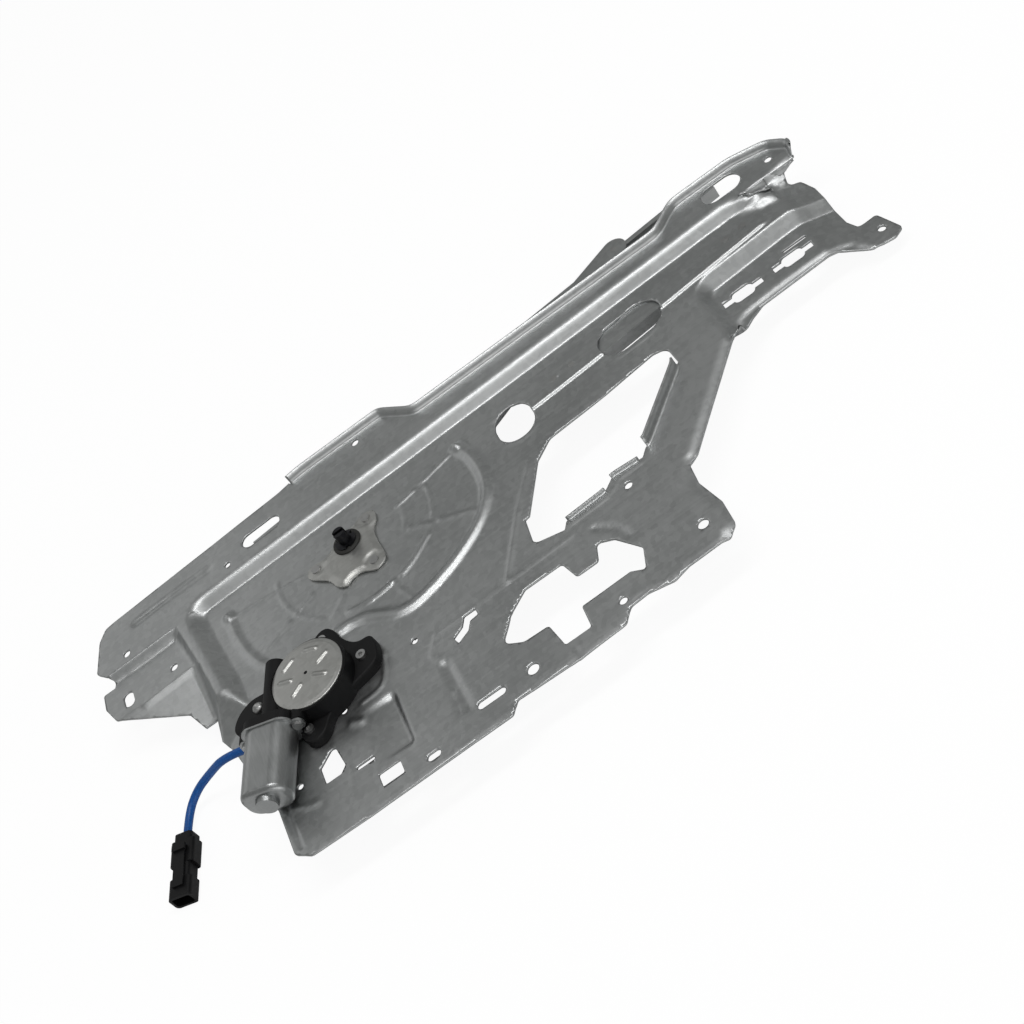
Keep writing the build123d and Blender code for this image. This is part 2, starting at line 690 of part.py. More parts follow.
with BuildPart() as mounting_screws:
    for x, y in mount_points:
        for start, size, height in ((-2.4, 2.5, lug_height + 2.4), (lug_height, 5.4, 1),
                                    (lug_height + 1, 3.9, 2.8)):
            with Locations((x, y, start)):
                Cylinder(size, height, align=upward)
        with BuildSketch(Plane.XY.offset(lug_height + 3.8)):
            with Locations((x, y)):
                RegularPolygon(2, 6)
        extrude(amount=-1.6, mode=Mode.SUBTRACT)
mounting_screws.part.label = "mounting_screws"

with BuildPart() as output_shaft:
    with Locations((*gear_axis, pinion_z)):
        Cylinder(output_radius, 20 - pinion_z, align=upward)
    with Locations((*gear_axis, pinion_z - 1.2)):
        Cylinder(output_radius + 1.6, 1.2, align=upward)
output_shaft.part.label = "output_shaft"

with BuildPart() as pinion:
    with BuildSketch(turned(gear_axis, motor_bearing + 180, pinion_z)):
        with BuildLine():
            Polyline(*tooth_points(pinion_teeth, 180 / pinion_teeth, pinion_teeth), close=True)
        make_face()
        Circle(output_radius, mode=Mode.SUBTRACT)
    extrude(amount=pinion_face)
pinion.part.label = "pinion"

with BuildPart() as worm_wheel:
    with BuildSketch(turned(gear_axis, 0, axis_z - wheel_face / 2)):
        Circle(wheel_radius - 1.2)
        for tooth in range(wheel_teeth):
            angle = 360 * tooth / wheel_teeth
            with Locations(polar(wheel_radius - 0.8, angle)):
                Rectangle(2, 1.6, rotation=angle)
        Circle(13.2, mode=Mode.SUBTRACT)
    extrude(amount=wheel_face)
worm_wheel.part.label = "worm_wheel"

with BuildPart() as damper:
    with BuildSketch(turned(gear_axis, 0, axis_z - wheel_face / 2)):
        Circle(13.2)
        Circle(output_radius, mode=Mode.SUBTRACT)
        for k in range(3):
            with Locations(polar(9.2, 120 * k)):
                Circle(2.2, mode=Mode.SUBTRACT)
    extrude(amount=wheel_face)
damper.part.label = "damper"

with BuildPart() as armature_shaft:
    with BuildSketch(motor_plane(-19)):
        Circle(shaft_radius)
    extrude(amount=19 + flange_reach + can_length)
    with BuildSketch(motor_plane(-11)):
        Circle(4.2)
    extrude(amount=22)
    for turn_number in range(7):
        with BuildSketch(motor_plane(-10 + turn_number * math.pi)):
            Circle(5.2)
        extrude(amount=1.4)
armature_shaft.part.label = "armature_shaft"

with BuildPart() as armature_core:
    with BuildSketch(motor_plane(flange_reach + 18)):
        Circle(10.6)
        for k in range(8):
            with Locations(polar(9.6, 45 * k)):
                Rectangle(3.4, 1.6, rotation=45 * k, mode=Mode.SUBTRACT)
    extrude(amount=29)
    with BuildSketch(motor_plane(flange_reach + 13)):
        Circle(8.4)
    extrude(amount=39)
    with BuildSketch(motor_plane(flange_reach + 13)):
        Circle(shaft_radius)
    extrude(amount=39, mode=Mode.SUBTRACT)
armature_core.part.label = "armature_core"

with BuildPart() as commutator:
    with BuildSketch(motor_plane(flange_reach + 1)):
        Circle(5.5)
        Circle(shaft_radius, mode=Mode.SUBTRACT)
        for k in range(8):
            with Locations(polar(5.4, 22.5 + 45 * k)):
                Rectangle(1.6, 0.5, rotation=22.5 + 45 * k, mode=Mode.SUBTRACT)
    extrude(amount=10)
commutator.part.label = "commutator"

with BuildPart() as magnets:
    with BuildSketch(motor_plane(flange_reach + 14)):
        RectangleRounded(can_width - 2 * can_wall, can_height - 2 * can_wall, 9.4)
        Rectangle(can_width, 15, mode=Mode.INTERSECT)
        Circle(11.4, mode=Mode.SUBTRACT)
    extrude(amount=36)
magnets.part.label = "magnets"

with BuildPart() as brush_holder:
    with BuildSketch(motor_plane(flange_reach + 2)):
        RectangleRounded(can_width - 2 * can_wall, can_height - 2 * can_wall, 9.4)
        Circle(8, mode=Mode.SUBTRACT)
    extrude(amount=2)
    with BuildSketch(motor_plane(flange_reach + 4)):
        with Locations((-11.5, 0), (11.5, 0)):
            Rectangle(6, 5)
    extrude(amount=5)
brush_holder.part.label = "brush_holder"

with BuildPart() as brushes:
    with BuildSketch(motor_plane(flange_reach + 4)):
        with Locations((-7.05, 0), (7.05, 0)):
            Rectangle(2.9, 4)
    extrude(amount=4)
brushes.part.label = "brushes"

with BuildPart() as rear_bearing:
    with BuildSketch(motor_plane(flange_reach + can_length - can_wall - 3)):
        Circle(5)
        Circle(shaft_radius + running_gap, mode=Mode.SUBTRACT)
    extrude(amount=5 + can_wall)
rear_bearing.part.label = "rear_bearing"

# Lead from the brush end of the housing to the connector
lead_z = 4.0
lead_side = worm_angle - 90
boss_face = polar(24, lead_side, polar(flange_reach - flange_block / 2, worm_angle, worm_foot))
lead_start = polar(grommet_length, lead_side, boss_face)
lead_bend = polar(20, lead_side, lead_start)
with BuildPart() as lead_grommet:
    outward = Plane(origin=(*boss_face, lead_z), z_dir=polar(1, lead_side) + (0,))
    with BuildSketch(outward):
        Circle(3.9)
    extrude(amount=grommet_length, taper=4)
lead_grommet.part.label = "lead_grommet"

connector_z = sash_web_z + connector_height / 2
connector_face = (-206, -129)
last_bend = polar(-20, connector_angle, connector_face)
lead_points = [(*lead_start, lead_z), (*lead_bend, lead_z), (-168, -105, -12), (-186, -101, -22),
               (*last_bend, connector_z), (*connector_face, connector_z)]


def bend_radii(points):
    """The radius of each bend that takes 0.45 of its shorter run."""
    runs = [Vector(*b) - Vector(*a) for a, b in zip(points, points[1:])]
    radii = []
    for first, second in zip(runs, runs[1:]):
        half_turn = math.radians(first.get_angle(second)) / 2
        radii.append(0.45 * min(first.length, second.length) / math.tan(half_turn))
    return radii


lead_radii = bend_radii(lead_points)
with BuildPart() as lead:
    with BuildLine() as lead_path:
        FilletPolyline(*lead_points, radius=lead_radii)
    with BuildSketch(Plane(origin=lead_path.line @ 0, z_dir=lead_path.line % 0)):
        Circle(lead_radius)
    sweep()
lead.part.label = "lead"
lead_length = sum(edge.length for edge in lead_path.edges())
print("lead radii", [round(r, 1) for r in lead_radii], "length", round(lead_length, 1), "volume",
      round(lead.part.volume),
      "section x length", round(math.pi * lead_radius ** 2 * lead_length))

front = Plane(origin=(*connector_face, connector_z), x_dir=polar(1, connector_angle + 90) + (0,),
              z_dir=polar(1, connector_angle) + (0,))
with BuildPart() as connector_body:
    with BuildSketch(front):
        RectangleRounded(connector_width - 5, connector_height, 3)
    extrude(amount=connector_length)
    with BuildSketch(front.offset(6)):
        RectangleRounded(connector_width, connector_height, 3)
    extrude(amount=20)
    with BuildSketch(front.offset(38)):
        RectangleRounded(connector_width - 1, connector_height, 3)
    extrude(amount=connector_length - 38)
    with BuildSketch(front.offset(connector_length)):
        RectangleRounded(connector_width - 5, connector_height - 4, 2)
    extrude(amount=-12, mode=Mode.SUBTRACT)
connector_body.part.label = "connector_body"

with BuildPart() as connector_latch:
    with BuildSketch(front.offset(12)):
        with Locations((0, connector_height / 2 + 1)):
            Rectangle(9, 2)
    extrude(amount=34)
    with BuildSketch(front.offset(12)):
        with Locations((0, connector_height / 2 + 3)):
            Rectangle(11, 2)
    extrude(amount=5)
connector_latch.part.label = "connector_latch"

cord = [lead, lead_grommet, connector_body, connector_latch]
rigid = [
    carrier_plate, pivot_bracket, bracket_rivets, guide_rail, rail_rivets, gear_housing, gear_cover,
    motor_can,
    can_screws, mounting_screws, magnets, brush_holder, brushes, rear_bearing, pivot_shaft, shaft_clip,
    sector_gear,
    lift_arm, arm_rivets, cross_pin, cross_arm_lower, cross_arm_upper, lower_stud, upper_stud, lift_stud,
    lower_roller, upper_roller, lift_roller, sash_rail, output_shaft, pinion, worm_wheel, damper,
    armature_shaft,
    armature_core, commutator,
]

# Put the middle of the rigid pieces' footprint at the origin and the lowest point on the floor
boxes = [piece.part.bounding_box() for piece in rigid]
low_x, high_x = min(b.min.X for b in boxes), max(b.max.X for b in boxes)
low_y, high_y = min(b.min.Y for b in boxes), max(b.max.Y for b in boxes)
shift = Vector(-(low_x + high_x) / 2, -(low_y + high_y) / 2, -min(b.min.Z for b in boxes))
print("shift", tuple(round(v, 4) for v in shift), "size", round(high_x - low_x, 2),
      round(high_y - low_y, 2))
for name, point in (("gear_axis", gear_axis), ("worm_foot", worm_foot), ("cross", cross), ("tip", tip),
                    ("lower_end", lower_end), ("upper_end", upper_end)):
    print(name, [round(v, 4) for v in point])

os.makedirs("parts", exist_ok=True)
for piece in rigid + cord:
    label = piece.part.label
    moved = piece.part.moved(Location(shift))
    moved.label = label
    export_step(moved, "parts/" + label + ".step")
    box = piece.part.bounding_box()
    print("%-17s %d %8.0f" % (label, len(moved.solids()), moved.volume),
          [round(v, 1) for v in (*box.min, *box.max)])
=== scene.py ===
import json
import math

import bmesh
import bpy
from mathutils import Matrix, Vector
from mathutils.bvhtree import BVHTree
from mathutils.geometry import interpolate_bezier
from mathutils.kdtree import KDTree
from mathutils.noise import noise


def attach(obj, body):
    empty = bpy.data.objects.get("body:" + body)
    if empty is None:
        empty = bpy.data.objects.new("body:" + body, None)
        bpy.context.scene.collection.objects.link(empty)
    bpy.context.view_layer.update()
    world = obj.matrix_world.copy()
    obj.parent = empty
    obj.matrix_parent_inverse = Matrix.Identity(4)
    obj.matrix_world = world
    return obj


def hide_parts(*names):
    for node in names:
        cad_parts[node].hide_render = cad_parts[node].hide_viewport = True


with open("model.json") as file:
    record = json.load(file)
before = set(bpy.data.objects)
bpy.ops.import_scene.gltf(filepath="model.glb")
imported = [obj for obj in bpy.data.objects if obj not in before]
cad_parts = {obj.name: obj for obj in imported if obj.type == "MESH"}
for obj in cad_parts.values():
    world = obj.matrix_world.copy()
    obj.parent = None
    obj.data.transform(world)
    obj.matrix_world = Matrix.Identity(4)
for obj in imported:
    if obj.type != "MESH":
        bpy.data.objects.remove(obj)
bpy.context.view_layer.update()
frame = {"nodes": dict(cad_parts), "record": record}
nodes = frame["nodes"]

# The lift pivot on the tray floor, in metres in the shared frame
PIVOT = Vector((-0.11819, 0.04793, 0.0345))
MM = 0.001


def at(x, y, z=0.0):
    """A point given in millimetres from the lift pivot on the tray floor."""
    return PIVOT + Vector((x, y, z)) * MM


def from_pivot(place):
    """The x and y of a point, in millimetres from the lift pivot."""
    return (place.x - PIVOT.x) / MM, (place.y - PIVOT.y) / MM


def ramp(value, start, stop):
    """0 at start and 1 at stop, straight between them and level beyond."""
    return min(1.0, max(0.0, (value - start) / (stop - start)))


def eased(t):
    """A rise from 0 to 1 with soft ends."""
    return t * t * (3 - 2 * t)


class Wire:
    """A shader socket that can be added and multiplied like a number."""

    def __init__(self, tree, socket):
        self.tree, self.socket = tree, socket

    def maths(self, operation, other):
        node = self.tree.nodes.new("ShaderNodeMath")
        node.operation = operation
        self.tree.links.new(self.socket, node.inputs[0])
        if isinstance(other, Wire):
            self.tree.links.new(other.socket, node.inputs[1])
        else:
            node.inputs[1].default_value = other
        return Wire(self.tree, node.outputs[0])

    def __add__(self, other):
        return self.maths("ADD", other)

    def __mul__(self, other):
        return self.maths("MULTIPLY", other)

    def step(self, low, high):
        """0 below low and 1 above high, with a smooth rise between."""
        node = self.tree.nodes.new("ShaderNodeMapRange")
        node.interpolation_type = "SMOOTHSTEP"
        self.tree.links.new(self.socket, node.inputs["Value"])
        node.inputs["From Min"].default_value = low
        node.inputs["From Max"].default_value = high
        return Wire(self.tree, node.outputs[0])


class Finish:
    """One procedural material and its surface shader."""

    def __init__(self, name, **surface):
        self.material = bpy.data.materials.new(name)
        self.material.use_nodes = True
        self.tree = self.material.node_tree
        self.shader = self.tree.nodes["Principled BSDF"]
        self.output = self.tree.nodes["Material Output"]
        self.place = self.node("ShaderNodeTexCoord").outputs["Object"]
        for socket, value in surface.items():
            self.set(socket.replace("_", " "), value)

    def node(self, kind, **inputs):
        made = self.tree.nodes.new(kind)
        for key, value in inputs.items():
            self.join(value, made.inputs[key])
        return made

    def join(self, value, socket):
        """Give a socket a plain value, or link another socket to it."""
        if isinstance(value, Wire):
            value = value.socket
        if isinstance(value, bpy.types.NodeSocket):
            self.tree.links.new(value, socket)
        else:
            socket.default_value = value

    def set(self, socket, value):
        self.join(value, self.shader.inputs[socket])

    def stretched(self, x, y, z):
        """Object coordinates scaled along each axis, for a pattern that runs one way."""
        return self.node("ShaderNodeMapping", Vector=self.place, Scale=(x, y, z)).outputs[0]

    def noise(self, scale, detail, place=None):
        made = self.node("ShaderNodeTexNoise", Vector=place or self.place, Scale=scale, Detail=detail)
        return Wire(self.tree, made.outputs[0])

    def cells(self, scale):
        """Patches that each have a grey of their own."""
        made = self.node("ShaderNodeTexVoronoi", Vector=self.place, Scale=scale)
        return Wire(self.tree, self.node("ShaderNodeRGBToBW", Color=made.outputs["Color"]).outputs[0])

    def mix(self, amount, first, second):
        """A colour between two, which are given as red, green and blue."""
        made = self.tree.nodes.new("ShaderNodeMix")
        made.data_type = "RGBA"
        start, end = [socket for socket in made.inputs if socket.type == "RGBA"]
        self.join(amount, made.inputs["Factor"])
        start.default_value = (*first, 1)
        end.default_value = (*second, 1)
        return next(socket for socket in made.outputs if socket.type == "RGBA")

    def bump(self, height, distance, strength):
        made = self.node("ShaderNodeBump", Height=height, Distance=distance, Strength=strength)
        self.set("Normal", made.outputs[0])


def sheet_finish(name, light, dark, rough, streak):
    """Coated sheet: faint cloudy patches, a fine spangle and fine rolling lines."""
    steel = Finish(name, Metallic=1.0, Specular_IOR_Level=0.5)
    cloud = steel.noise(9.0, 4.0)
    spangle = steel.cells(260.0)
    lines = steel.noise(420.0, 2.0, steel.stretched(0.04, 1.0, 1.0))
    tone = cloud * 0.55 + spangle * 0.2 + lines * 0.25
    steel.set("Base Color", steel.mix(tone.step(0.3, 0.7), dark, light))
    # The three patterns add about 0.09 to the roughness
    steel.set("Roughness", cloud * 0.10 + lines * streak + spangle * 0.03 + (rough - 0.09))
    steel.bump(lines * 0.5 + steel.noise(1400.0, 1.0) * 0.5, 0.00003, 0.35)
    return steel.material


def plastic_finish(name, tone, worn, rough, grain):
    """Moulded plastic or rubber with a fine spark-eroded grain."""
    plastic = Finish(name, Specular_IOR_Level=0.3)
    cloud = plastic.noise(60.0, 3.0)
    plastic.set("Base Color", plastic.mix(cloud.step(0.35, 0.75), tone, worn))
    # The cloud adds about 0.07 to the roughness
    plastic.set("Roughness", cloud * 0.14 + (rough - 0.07))
    plastic.bump(plastic.noise(grain, 2.0), 0.00006, 0.4)
    return plastic.material


def drawn_can_finish():
    """Deep drawn can: satin zinc with faint draw lines along its length."""
    can = Finish("drawn_can", Metallic=1.0)
    lines = can.noise(900.0, 2.0, can.stretched(1.0, 0.1, 1.0))
    cloud = can.noise(25.0, 3.0)
    tone = cloud * 0.6 + lines * 0.4
    can.set("Base Color", can.mix(tone.step(0.3, 0.7), (0.40, 0.41, 0.41), (0.52, 0.53, 0.53)))
    can.set("Roughness", cloud * 0.1 + lines * 0.08 + 0.27)
    can.bump(lines, 0.00002, 0.3)
    return can.material


def sleeve_finish():
    """Blue sleeve with the faint flecks of a braid."""
    sleeve = Finish("blue_sleeve", Specular_IOR_Level=0.5)
    fleck = sleeve.noise(900.0, 2.0)
    sleeve.set("Base Color", sleeve.mix(fleck.step(0.35, 0.7), (0.003, 0.085, 0.36), (0.006, 0.13, 0.48)))
    sleeve.set("Roughness", fleck * 0.12 + 0.34)
    sleeve.bump(fleck, 0.00008, 0.4)
    return sleeve.material


# Sheet: light and dark tone, roughness, streaks. Plastic: its tone, its worn tone, roughness, grain
finishes = {
    "galvanised": sheet_finish("galvanised_sheet", (0.60, 0.61, 0.61), (0.47, 0.48, 0.48), 0.36, 0.08),
    "plated_parts": sheet_finish("zinc_plated_parts", (0.62, 0.62, 0.61), (0.46, 0.46, 0.46), 0.34, 0.05),
    "bracket_steel": sheet_finish("bracket_steel", (0.64, 0.64, 0.62), (0.52, 0.52, 0.50), 0.42, 0.05),
    "dark_steel": sheet_finish("oiled_dark_steel", (0.07, 0.07, 0.075), (0.03, 0.03, 0.035), 0.42, 0.06),
    "can_steel": drawn_can_finish(),
    "black_plastic": plastic_finish("black_nylon", (0.003, 0.003, 0.0035), (0.006, 0.006, 0.0065), 0.5, 1500),
    "white_nylon": plastic_finish("natural_acetal", (0.74, 0.73, 0.68), (0.80, 0.79, 0.75), 0.4, 1200),
    "black_rubber": plastic_finish("black_rubber", (0.012, 0.012, 0.012), (0.02, 0.02, 0.02), 0.7, 800),
    "seal_rubber": plastic_finish("seal_rubber", (0.030, 0.030, 0.028), (0.05, 0.05, 0.047), 0.55, 800),
    "blue_sleeve": sleeve_finish(),
    "ferrite": sheet_finish("ferrite_and_iron", (0.10, 0.10, 0.105), (0.05, 0.05, 0.052), 0.6, 0.05),
    "copper": sheet_finish("copper_and_bronze", (0.72, 0.38, 0.24), (0.55, 0.28, 0.17), 0.4, 0.05),
}
for entry in frame["record"]["subparts"]:
    mesh = nodes[entry["node"]].data
    mesh.materials.clear()
    mesh.materials.append(finishes[entry["material_slot"]])


def show(name, bm, slot, body, smooth_angle=40, finish=None):
    """Turn a finished bmesh into a shown piece with its finish, riding on its body."""
    mesh = bpy.data.meshes.new(name)
    bm.to_mesh(mesh)
    bm.free()
    mesh.materials.append(finishes[finish or slot])
    mesh.shade_smooth()
    mesh.set_sharp_from_angle(angle=math.radians(smooth_angle))
    piece = bpy.data.objects.new(name, mesh)
    bpy.context.collection.objects.link(piece)
    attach(piece, body)
    return piece


def thicken(piece, gauge):
    """Give a shown skin its sheet thickness in millimetres, below the skin."""
    solidify = piece.modifiers.new("gauge", "SOLIDIFY")
    solidify.thickness = gauge * MM
    solidify.offset = -1.0


PATH_STEPS = 6


def path_of(*points):
    """A smooth line through the points, as short straight steps."""
    places = [Vector((*p, 0)) for p in points]
    if len(places) < 3:
        return places
    ends = [places[0] * 2 - places[1], *places, places[-1] * 2 - places[-2]]
    line = []
    for before, start, stop, after in zip(ends, ends[1:], ends[2:], ends[3:]):
        leave, arrive = start + (stop - before) / 6, stop - (after - start) / 6
        line += interpolate_bezier(start, leave, arrive, stop, PATH_STEPS + 1)[:-1]
    return line + [places[-1]]


def arc_of(radius, start, end, centre=(0, 0), steps=18):
    """Points along an arc, from a start to an end in degrees."""
    turns = [math.radians(start + (end - start) * k / steps) for k in range(steps + 1)]
    return [Vector((centre[0] + radius * math.cos(t), centre[1] + radius * math.sin(t), 0)) for t in turns]


# Pressings too fine for the solid, in millimetres: a middle line, half the width and the height.
# A height below zero is a groove, or an edge that falls away.
PRESSINGS = [
    # The fan's outer ring, with a round end at the wall on each side
    (path_of((107, 20), (112.5, 4), (114.5, -15), (112.5, -36), (104, -54), (90, -69), (72, -81), (55, -89),
             (38, -94.5), (25, -96.5), (13, -94), (2, -87), (-10, -79), (-22, -75), (-34, -74.5)), 7.0, 2.7),
    (path_of((-110, 14), (-109.5, -4), (-107, -24), (-102, -43), (-94, -60)), 5.5, 1.6),
    (path_of((106, 21), (106.5, 20)), 7.5, 2.4),
    (path_of((-110.5, 13), (-110, 12)), 7.0, 2.0),
    # The fan's spokes to the right and the inner ring below
    (path_of((46, 5), (62, 8.5)), 3.2, 0.95),
    (path_of((71, 11), (98, 18)), 3.2, 0.95),
    (path_of((47, -25), (62, -34)), 3.0, 0.95),
    (path_of((70, -37), (96, -51)), 3.2, 1.0),
    (path_of((27, -63), (40, -56.5), (58, -43)), 3.4, 1.4),
    (arc_of(66, -108, -74), 3.4, 1.4),
    # The fan's spokes to the left and below
    (path_of((-104, 10), (-69, 6)), 2.8, 0.5),
    (path_of((-62, 4), (-44, 2)), 2.8, 0.5),
    (path_of((-90, -43), (-66, -33)), 3.0, 0.8),
    (path_of((-58, -29), (-42, -22)), 3.0, 0.8),
    (path_of((-34, -57), (-20, -45)), 2.8, 0.65),
    (path_of((21, -74), (29, -94)), 2.0, 0.4),
    # The fan's faint inner arcs, and the ridge between the pivot and the wall
    (arc_of(72, -24, 5), 2.0, 0.5),
    (arc_of(48, -28, 2), 1.8, 0.4),
    (arc_of(66, 168, 232), 2.0, 0.5),
    (path_of((-30, 24), (25, 26)), 2.5, 0.4),
    # Below the fan: the bead beside the large window, then round the gearmotor and its pocket
    (path_of((93, -134), (112, -100), (126, -76), (148, -44)), 3.2, 0.9),
    (path_of((30, -136), (150, -134)), 2.2, 0.6),
    (path_of((-10, -122), (-18, -146), (-38, -150)), 2.5, 0.9),
    (path_of((28, -166), (30, -212)), 6.0, -1.6),
    (path_of((24, -196), (23, -213)), 2.2, -1.2),
    (path_of((30, -166), (22, -152), (30, -138)), 3.0, 0.5),
    (path_of((-50, -160), (-43, -165)), 4.5, 1.2),
    (path_of((-115.5, -192), (-115, -232)), 2.2, -1.4),
    # The flange above the wall
    (path_of((-182, 66), (-150, 68), (-110, 68)), 5.0, -1.6),
    (path_of((-15, 81), (50, 82)), 2.0, -0.4),
    # Beside the lower windows, then the ridges round the round hole and below the oblong one
    (path_of((164, -140), (176, -152), (182, -166)), 3.4, -1.4),
    (path_of((-113, -196), (-100, -204), (-92, -206)), 3, 0.8),
    (arc_of(20.5, 45, 130, (153, 4)), 2.4, 0.7),
    (arc_of(22.5, 235, 310, (154, 6)), 2.4, 0.7),
    (path_of((244, -4), (262, -4.5), (280, -1)), 2.2, 0.7),
    # Small ridges and grooves between the windows, at the lower edge and at the tray's left end
    (path_of((150, -123.5), (184, -122), (196, -114), (216, -114)), 2, 0.7),
    (path_of((112, -222), (113, -234)), 2.0, -0.8),
    (path_of((-60, -178), (-66, -214)), 2.0, 0.4),
    (path_of((76, -166), (86, -164)), 2.4, 0.8),
    (path_of((-196, -14), (-150, -12)), 2.5, 0.8),
    (path_of((236, -196), (236, -214)), 2.0, 0.5),
    (path_of((-200, 27), (-160, 28)), 2.5, 0.7),
    # Edges that fall away: the right end with the strut, the lower edge, and a crease above the strut
    (path_of((436, -50), (428, -42), (418, -37), (350, -38), (332, -44), (318, -60), (256, -132), (246, -141),
             (241, -162), (247, -190), (246, -212), (238, -222)), 7.0, -2.0),
    (path_of((238, -222), (205, -223), (192, -227), (172, -222), (158, -223), (150, -234), (112, -236),
             (62, -234), (55, -243), (-65, -244), (-108, -243), (-120, -236), (-122, -190)), 4.0, -0.5),
    (path_of((312, -2), (314, -24), (322, -40)), 3.0, -0.9),
]
# The left, right, low and high side of each pressing, to skip the points that it doesn't reach
PRESSING_BOXES = [
    (min(p.x for p in line) - half, max(p.x for p in line) + half,
     min(p.y for p in line) - half, max(p.y for p in line) + half) for line, half, _ in PRESSINGS]

# Low steps that fade out above their edge: both ends, the height and how far it fades
STEPS = [((168, 2), (238, 7), 1.9, 32), ((292, 11.5), (387, 21.5), 1.9, 28)]
# How far a step takes to reach its height, and to run out past its ends
STEP_RISE, STEP_END = 3.0, 6

# The pocket beside the motor can slopes down to the right and rises again at its other three sides. Each
# side has the place where it starts and the place where the pocket has its depth
POCKET_DEPTH = 2.6
POCKET_SIDES = [("x", -44, -17), ("x", -12, -16), ("y", -212, -207), ("y", -157, -162)]


def pressing(x, y):
    """The height that the fine pressings add at a point, all in millimetres."""
    rise = 0.0
    for (line, half, height), (left, right, low, high) in zip(PRESSINGS, PRESSING_BOXES):
        if not (left < x < right and low < y < high):
            continue
        near = half * half
        for a, b in zip(line, line[1:]):
            ex, ey, px, py = b.x - a.x, b.y - a.y, x - a.x, y - a.y
            along = min(1.0, max(0.0, (px * ex + py * ey) / (ex * ex + ey * ey)))
            near = min(near, (px - along * ex) ** 2 + (py - along * ey) ** 2)
        rise += height * (1 - near / (half * half)) ** 2
    for (ax, ay), (bx, by), height, fade in STEPS:
        over = y - ay - (by - ay) * (x - ax) / (bx - ax)
        if 0 < over < fade:
            ends = ramp(x, ax - STEP_END, ax) * ramp(x, bx + STEP_END, bx)
            rise += height * ends * eased(ramp(over, 0, STEP_RISE)) * (1 - over / fade)
    depth = POCKET_DEPTH
    for axis, outside, inside in POCKET_SIDES:
        depth *= ramp(x if axis == "x" else y, outside, inside)
    return rise - depth


def cut(bm, across, places):
    """Cut a mesh along parallel planes, at distances in millimetres from the pivot."""
    for place in places:
        everything = bm.verts[:] + bm.edges[:] + bm.faces[:]
        start = PIVOT + across.normalized() * place * MM
        bmesh.ops.bisect_plane(bm, geom=everything, plane_co=start, plane_no=across, dist=1e-6)


def spread(*runs):
    """Places along a line: each run is its start, its end and its spacing."""
    coarse = 1.0
    places = []
    for start, end, pitch in runs:
        places += [start + k * pitch * coarse for k in range(int((end - start) / pitch / coarse))]
    return places


# The long folds rise by this much for each millimetre to the right
FOLD_SLOPE = 0.0356
# The net is finest across the two bends of the wall
NET_ROWS = [(-256, -150, 2.4), (-150, -8, 1.9), (-8, 16, 1.0), (16, 36, 1.9), (36, 54, 0.8), (54, 74, 2.4),
            (74, 104, 1.8)]
NET_COLUMNS = [(-228, -126, 2.6), (-126, 126, 1.9), (126, 470, 2.5)]
# Heights above the tray floor in millimetres: the flange, and a start for rays between flange and lip
FLANGE = 8.0
RAY_START = 8.4
# A ray that hits the back of a fold goes on from there, this many times
RAY_TRIES = 4
DOWN = Vector((0, 0, -1))
# The least upward part of a normal on the front skin, and how far a front face may lie from its level
FACES_UP, SAME_LEVEL = 0.02, 0.3
# How far each bend reaches to both sides: the sharp ones low down, the soft one from 43 mm above the pivot
SHARP_BEND, SOFT_BEND, SOFT_FROM = 1.2, 4.0, 43
# Inside the fan the solid's plain ribs, under 3 mm high, give way to the finer pressings
FAN_RADIUS, FAN_TOP, FAN_RIBS = 122, 34, 3
# Zones whose heights are smoothed: left, right, low and high side, and the rounds
SMOOTHED = [((-150, 470, 36, 70), 2), ((392, 470, 40, 72), 10)]


def front_level(solid, x, y):
    """The front skin's height in millimetres, at a place in metres. None beside the sheet."""
    start = Vector((x, y, at(0, 0, RAY_START).z))
    for _ in range(RAY_TRIES):
        place, normal, _, _ = solid.ray_cast(start, DOWN)
        if place is None:
            return None
        if normal.z > FACES_UP:
            return (place.z - PIVOT.z) / MM
        start = place + DOWN * 0.01 * MM
    return None


def flat_net(bm, solid):
    """Keep the faces that the front shows, lay them flat and cut them into a fine net."""
    hidden = []
    for face in bm.faces:
        middle = face.calc_center_median()
        top = front_level(solid, middle.x, middle.y)
        below = top is None or abs(top - (middle.z - PIVOT.z) / MM) > SAME_LEVEL
        if below or face.normal.z < FACES_UP:
            hidden.append(face)
    bmesh.ops.delete(bm, geom=hidden, context="FACES")
    for v in bm.verts:
        v.co.z = PIVOT.z
    bmesh.ops.remove_doubles(bm, verts=bm.verts, dist=2e-5)
    bmesh.ops.dissolve_limit(bm, angle_limit=0.02, verts=bm.verts, edges=bm.edges)
    cut(bm, Vector((-FOLD_SLOPE, 1, 0)), spread(*NET_ROWS))
    cut(bm, Vector((1, 0, 0)), spread(*NET_COLUMNS))
    # In a list, since the order decides which of two close points stays
    bmesh.ops.remove_doubles(bm, verts=[v for v in bm.verts if v.is_boundary], dist=0.5 * MM)


